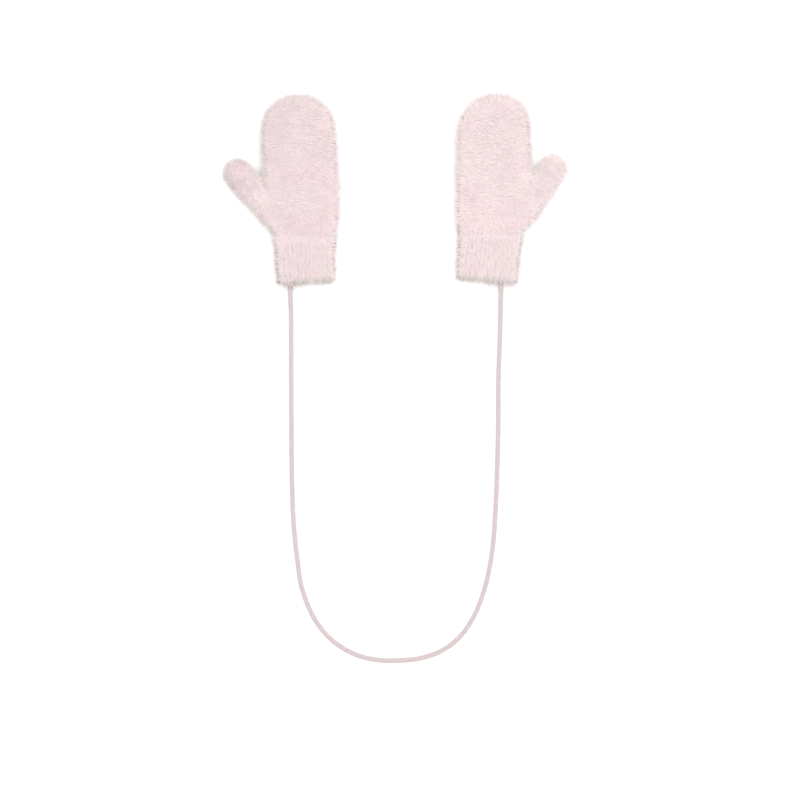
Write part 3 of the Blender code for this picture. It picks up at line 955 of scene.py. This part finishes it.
def cuff_skin(side):
    """A cuff's outside with faint ribs, from the wrist to the end of the hem's lip, and a tree of its
    points, each ring's in order, to find where a place lies on a rib."""
    plain = ByFace(0, 0, 0)
    rings = [cuff_ring(row, plain, PILE_RIB * risen) for row, risen in zip(*cuff_rows(side))]
    return mesh_of(tube(rings), "skin"), tree_of(np.concatenate(rings))


def ribs_at(crests, points):
    """From 1 on the crest of a rib to -1 in its groove, for each point."""
    at = np.array([crests.find(place)[1] for place in points])
    return np.cos(2 * pi * (at / POINTS_PER_RIB + RIB_PHASE))


def cuff_knit(name, side, material):
    """A cuff's knit: ribs outside, plain inside, and a tucked start under the hand's edge."""
    rows, risen = cuff_rows(side)
    depth = PILE_DEPTH["cuff"]
    tucked = rows[0]._replace(left_y=rows[0].left_y + TUCK, right_y=rows[0].right_y + TUCK)
    outer = [cuff_ring(tucked, deeper(depth, 0.7), 0)]
    outer += [cuff_ring(row, depth, RIB_DEPTH * share) for row, share in zip(rows, risen)]
    inner = [cuff_ring(row, deeper(depth, KNIT_THICKNESS), 0) for row in [tucked] + rows]
    mesh = mesh_of(tube(outer + inner[::-1] + outer[:1]), name)
    return dressed(name, mesh, material)


def deeper(depth, more):
    """A depth that is more on every face."""
    return ByFace(*(value + more for value in depth))


def set_places(mesh, places):
    """Move a mesh's vertices to places, and none of them below the floor."""
    places[:, 2] = np.maximum(places[:, 2], 0.0)
    mesh.vertices.foreach_set("co", places.astype(np.float32).ravel())
    mesh.update()


def knit_shell(name, skin, outline, seam, depth, material):
    """The knit: the skin taken in by the pile's depth, with its own thickness inside that."""
    mesh = skin.copy()
    at, normals = vectors(skin), vectors(skin, "normal")
    away = np.maximum(
        eased(to_places(seam, at) / SEAM_WIDTH), 1 - eased(to_outline(outline, at, normals)[0] / 6.0)
    )
    inset = depth_at(normals, depth) * (0.3 + 0.7 * away * (1 - at_crotch(at, name)))
    set_places(mesh, at - normals * inset[:, None])
    cloth = linked(name, mesh)
    wall = cloth.modifiers.new("knit thickness", "SOLIDIFY")
    wall.thickness = KNIT_THICKNESS * MM
    wall.offset = -1.0
    wall.use_rim = True
    mesh = evaluated_mesh(cloth, name)
    set_places(mesh, vectors(mesh))
    return dressed(name, mesh, material)


# Cord


def round_tube(name, path, radius, bevel):
    """A round tube with closed ends along a path, as a mesh. Round it are 4 + 2 * bevel points."""
    curve = bpy.data.curves.new(name, "CURVE")
    curve.dimensions = "3D"
    spline = curve.splines.new("POLY")
    spline.points.add(len(path) - 1)
    spline.points.foreach_set("co", np.concatenate([path, np.ones((len(path), 1))], 1).ravel())
    curve.bevel_depth = radius
    curve.bevel_resolution = bevel
    curve.use_fill_caps = True
    return evaluated_mesh(linked(name, curve), name)


def make_cord_knit(path, material):
    """The cord's tube, with its columns of V-shaped stitches raised on it."""
    mesh = round_tube("cord_knit", path, CORD_DIAMETER / 2 * MM, CORD_BEVEL)
    at = vectors(mesh)
    around = 4 + 2 * CORD_BEVEL
    ring_of = np.minimum(np.arange(len(at)) // around, len(path) - 1)
    turn = (np.arange(len(at)) % around) / around
    out = unit(at - path[ring_of])
    column = turn * CORD_COLUMNS % 1.0
    from_middle = np.abs(column - 0.5) * 2
    loop = np.abs(np.sin(pi * (ring_of * CORD_STEP / CORD_STITCH + from_middle * 0.45)))
    leg = np.sin(pi * np.clip(from_middle, 0.02, 0.98)) ** 0.35
    at += out * ((loop**0.7 * leg - 0.75) * CORD_RELIEF * MM)[:, None]
    at[:, 2] = np.maximum(at[:, 2], 0.03 * MM)
    mesh.vertices.foreach_set("co", at.astype(np.float32).ravel())
    mesh.update()
    return dressed("cord_knit", mesh, material)


def make_cord_fuzz(cord, material):
    """Fine single hairs all along the cord."""
    points, normals = sampled(cord.data, FUZZ_HAIRS, lambda facing: np.ones(len(facing)))
    keep = (points[:, 1] < FUZZ_TOP_Y * MM) & (points[:, 2] > FUZZ_LOW * MM)
    points, normals = points[keep], normals[keep]
    side = unit(np.cross(normals, rng.normal(0, 1, normals.shape)))
    length = rng.uniform(*FUZZ_LENGTH, (len(points), 1)) * MM
    root = points - normals * 0.1 * MM
    middle = root + unit(normals * 0.5 + side * 0.8) * length * 0.5
    tip = middle + unit(normals * rng.uniform(-0.2, 0.5, (len(points), 1)) + side) * length * 0.5
    lines = np.stack([root, middle, tip], 1)
    lines[..., 2] = np.maximum(lines[..., 2], FLOOR_GAP * MM)
    return ribbons(
        "cord_fuzz", lines, normals, rng.uniform(*FUZZ_WIDTH, len(points)) * MM,
        rng.uniform(0.4, 1.0, len(points)), rng.uniform(0.4, 0.8, len(points)), material,
    )


def make_cord(material, fuzz_material):
    """The cord from cuff to cuff, as one length with its fuzz."""
    path = evenly_spaced(smooth_rows(CORD_ROUTE, CORD_SMOOTH) * MM, CORD_STEP * MM)
    cord = make_cord_knit(path, material)
    fuzz = make_cord_fuzz(cord, fuzz_material)
    for piece in (cord, fuzz):
        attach(piece, "root")
    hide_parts("cord")


# Where the cord is sewn to each cuff: its stitches in plan with their height over the pile, and where
# the turns of thread round the cord start, with how steeply the cord falls there
STITCHES = {
    "left": [
        ("pale", [(-95.4, -84.0, -0.3), (-94.3, -82.4, 0.5), (-92.7, -80.2, -0.4)]),
        ("sewing", [(-94.4, -84.8, -0.3), (-93.2, -82.8, 0.4), (-91.8, -80.7, -0.4)]),
        ("pale", [(-93.9, -85.2, -0.3), (-92.8, -84.0, 0.4), (-91.9, -82.8, -0.3)]),
        ("sewing", [(-90.8, -84.6, -0.3), (-90.6, -83.0, 0.4), (-90.3, -81.2, -0.4)]),
    ],
    "right": [
        ("pale", [(92.4, -75.2, -0.4), (92.6, -77.2, 0.4), (92.9, -79.4, -0.4)]),
        ("sewing", [(95.6, -80.2, -0.3), (95.5, -81.4, 0.4), (95.5, -82.6, 0.2)]),
    ],
}
Wrap = namedtuple("Wrap", "x y z slope")
WRAPS = {"left": Wrap(-94.2, -85.2, 5.4, 0.1), "right": Wrap(95.4, -82.0, 5.45, 0.0)}
WRAP_TURNS = 4
WRAP_PITCH = 0.95
STITCH_RADIUS = 0.24
WRAP_RADIUS = 0.28


def make_thread(name, line, radius, material):
    """A sewn thread along a line in millimetres."""
    path = evenly_spaced(smooth_rows(line, 8) * MM, THREAD_STEP * MM)
    piece = dressed(name, round_tube(name, path, radius * MM, THREAD_BEVEL), material)
    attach(piece, "root")


def sew_cord(side, tree, threads):
    """The stitches that show on a cuff where the cord is sewn in, and the turns of thread round the cord."""
    for number, (kind, line) in enumerate(STITCHES[side]):
        raised = [(x, y, top_at(tree, x * MM, y * MM).z / MM + above) for x, y, above in line]
        make_thread(f"{side}_stitch_{number + 1}", raised, STITCH_RADIUS, threads[kind])
    x, y, z, slope = WRAPS[side]
    turns = np.linspace(0, 2 * pi * WRAP_TURNS, WRAP_TURNS * 8 + 1)
    down = turns / (2 * pi) * WRAP_PITCH
    radius = CORD_DIAMETER / 2 + 0.05
    line = np.stack([x + radius * np.cos(turns), y - down, z - down * slope + radius * np.sin(turns)], 1)
    make_thread(f"{side}_wrap", line.tolist(), WRAP_RADIUS, threads["sewing"])


# The width of a column, the height of a row and the depth of the relief in a knit's fine stitches
Stitch = namedtuple("Stitch", "column row relief")
# Colours, as linear values
STITCH_COLOUR = (0.97, 0.87, 0.85, 1)
WRAP_COLOUR = (0.52, 0.37, 0.37, 1)
KNIT_LOW = (0.93, 0.825, 0.835, 1)
KNIT_HIGH = (0.96, 0.87, 0.88, 1)
# Hair darkens towards its root: painted shade deep in the pile
HAIR_DEEP_SHADED = (0.955, 0.83, 0.842, 1)
HAIR_ROOT_SHADED = (0.98, 0.868, 0.88, 1)
HAIR_TIP = (0.993, 0.888, 0.899, 1)
CORD_LOW = (0.55, 0.455, 0.46, 1)
CORD_HIGH = (0.69, 0.585, 0.59, 1)

PILES = {
    "hand": Pile(65000, 5, 4.9, 0.25, 0.40, 0.6, 0.16, 0.0, -2.4, across_flow),
    "thumb": Pile(20000, 5, 4.6, 0.25, 0.42, 0.6, 0.16, 0.0, -2.8, across_flow),
    "cuff": Pile(36000, 5, 4.6, 0.22, 0.36, 0.45, 0.10, 1.0, -2.2, hem_flow),
}
UNDER_HAIRS = 9000
# A piece's hair: its lightness and hue, how uneven it is, how much darker the outline is on the side away
# from the light, the share of that on the other side, and how it lightens in x and y per mm, a painted
# gradient of light
Look = namedtuple("Look", "light hue contrast shade rim slope")
LOOKS = {
    "left_hand": Look(0.70, 0.68, 1.7, 0.38, 0.22, np.array([0.0008, -0.0008])),
    "left_thumb": Look(0.41, 0.76, 3.8, 0.28, 0.25, np.array([0.0, 0.0])),
    "left_cuff": Look(0.66, 0.66, 0.8, 0.32, 0.0, np.array([0.0, 0.0])),
    "right_hand": Look(0.72, 0.66, 1.3, 0.29, 0.18, np.array([0.0, -0.0003])),
    "right_thumb": Look(0.65, 0.62, 2.6, 0.28, 0.15, np.array([0.0, 0.0])),
    "right_cuff": Look(0.70, 0.66, 0.9, 0.24, 0.0, np.array([0.0, 0.0])),
}
# Where a thumb leaves its hand, in plan
CROTCHES = {"left": (-118.4, 10.4), "right": (122.4, 13.0)}
CROTCH_RADIUS = 6.0
# Where the pile is a little deeper pink: the middle in plan and the radius
BLUSHES = ((-102.6, 53.6, 9.0), (-134.0, 5.0, 8.0), (-89.5, -26.0, 9.0), (68.0, -6.0, 10.0))


def all_but_under(facing):
    """Hair grows on top and, thicker, at the sides."""
    return np.where(facing[:, 2] > -0.45, 1.0 + 0.5 * flank(facing), 0.0)


def only_under(facing):
    """Hair grows where all_but_under has none."""
    return np.where(facing[:, 2] > -0.45, 0.0, 1.0)


def mostly_above(facing):
    """Hair grows thinner underneath and thicker at the sides."""
    return 1.0 + 0.6 * flank(facing) * (facing[:, 2] > -0.4) - 0.65 * underside(facing)


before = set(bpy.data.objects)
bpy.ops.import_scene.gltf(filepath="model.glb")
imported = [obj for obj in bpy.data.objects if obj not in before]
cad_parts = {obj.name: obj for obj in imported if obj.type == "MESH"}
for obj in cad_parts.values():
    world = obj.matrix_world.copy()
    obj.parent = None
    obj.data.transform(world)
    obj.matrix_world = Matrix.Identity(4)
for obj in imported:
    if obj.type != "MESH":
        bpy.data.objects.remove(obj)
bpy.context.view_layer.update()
make_camera()
make_studio()
stitches = make_stitch_group()
mottle = make_mottle_group()
knit = make_knit_material("brushed knit", stitches, mottle, KNIT_LOW, KNIT_HIGH, Stitch(2.1, 1.8, 0.5))
cord_knit = make_knit_material("cord knit", stitches, mottle, CORD_LOW, CORD_HIGH, Stitch(0.6, 0.9, 0.1))
pile_material = make_pile_material("soft pink pile", HAIR_DEEP_SHADED, HAIR_ROOT_SHADED, HAIR_TIP)
fuzz_material = make_pile_material("cord fuzz", CORD_LOW, CORD_HIGH, CORD_HIGH)
make_cord(cord_knit, fuzz_material)

threads = {}
for name, colour in (("pale", STITCH_COLOUR), ("sewing", WRAP_COLOUR)):
    threads[name], _, surface = fabric(f"{name} thread")
    surface.inputs["Base Color"].default_value = colour

for number, side in enumerate(SIDES):
    tree = whole_mitten(side)
    sew_cord(side, tree, threads)
    cuff, crests = cuff_skin(side)
    skins = {"cuff": cuff}
    for part in ("hand", "thumb"):
        skins[part] = outer_skin(f"{side}_{part}", tree)
    outline = silhouette(skins.values(), tree)
    seam = seam_of(skins["hand"])
    for order, part in enumerate(("hand", "thumb", "cuff")):
        node, seed, depth = f"{side}_{part}", number * 10 + order, PILE_DEPTH[part]
        if part == "cuff":
            cloth = cuff_knit(f"{node}_knit", side, knit)
        else:
            cloth = knit_shell(f"{node}_knit", skins[part], outline, seam, depth, knit)
        wanted = {f"{node}_pile": (PILES[part], mostly_above)}
        if part == "hand":
            wanted = {
                f"{node}_pile": (PILES[part], all_but_under),
                f"{node}_under_pile": (PILES[part]._replace(hairs=UNDER_HAIRS), only_under),
            }
        hair = [
            grow(name, node, skins[part], (tree, outline, seam), depth, pile, density, seed,
                 pile_material, crests if part == "cuff" else None)
            for name, (pile, density) in wanted.items()
        ]
        for piece in [cloth] + hair:
            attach(piece, "root")
        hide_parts(node)
